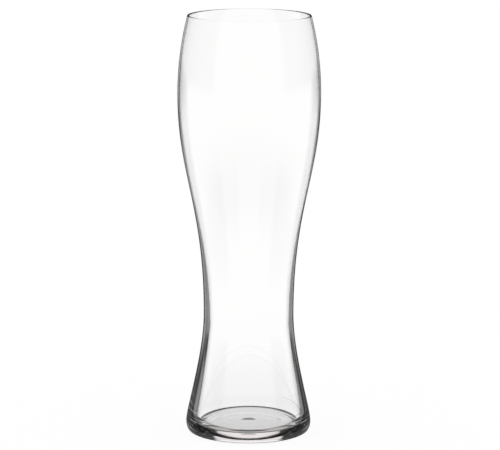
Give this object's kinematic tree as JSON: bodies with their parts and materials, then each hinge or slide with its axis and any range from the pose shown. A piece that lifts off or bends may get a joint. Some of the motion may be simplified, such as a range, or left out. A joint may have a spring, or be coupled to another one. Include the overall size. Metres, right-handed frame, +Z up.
{
  "type": "weizen glass",
  "caption": "Tall waisted wheat-beer glass in clear glass: heavy flared base, narrow waist, wide belly and a thin, slightly drawn-in rim.",
  "frame": {"origin": "centre of the ring that the glass stands on, on the table", "axes": "+Z up along the axis of the glass, towards the lip; the glass is round, so +X and +Y are any two directions across it"},
  "size_m": [0.0834, 0.0834, 0.246],
  "materials": {
    "base_glass": "clear, fire polished, with the faint ripples of a moulded base",
    "bowl_glass": "clear, smooth and fire polished"
  },
  "bodies": {
    "root": {"base": "base_glass", "bowl": "bowl_glass"}
  },
  "joints": []
}
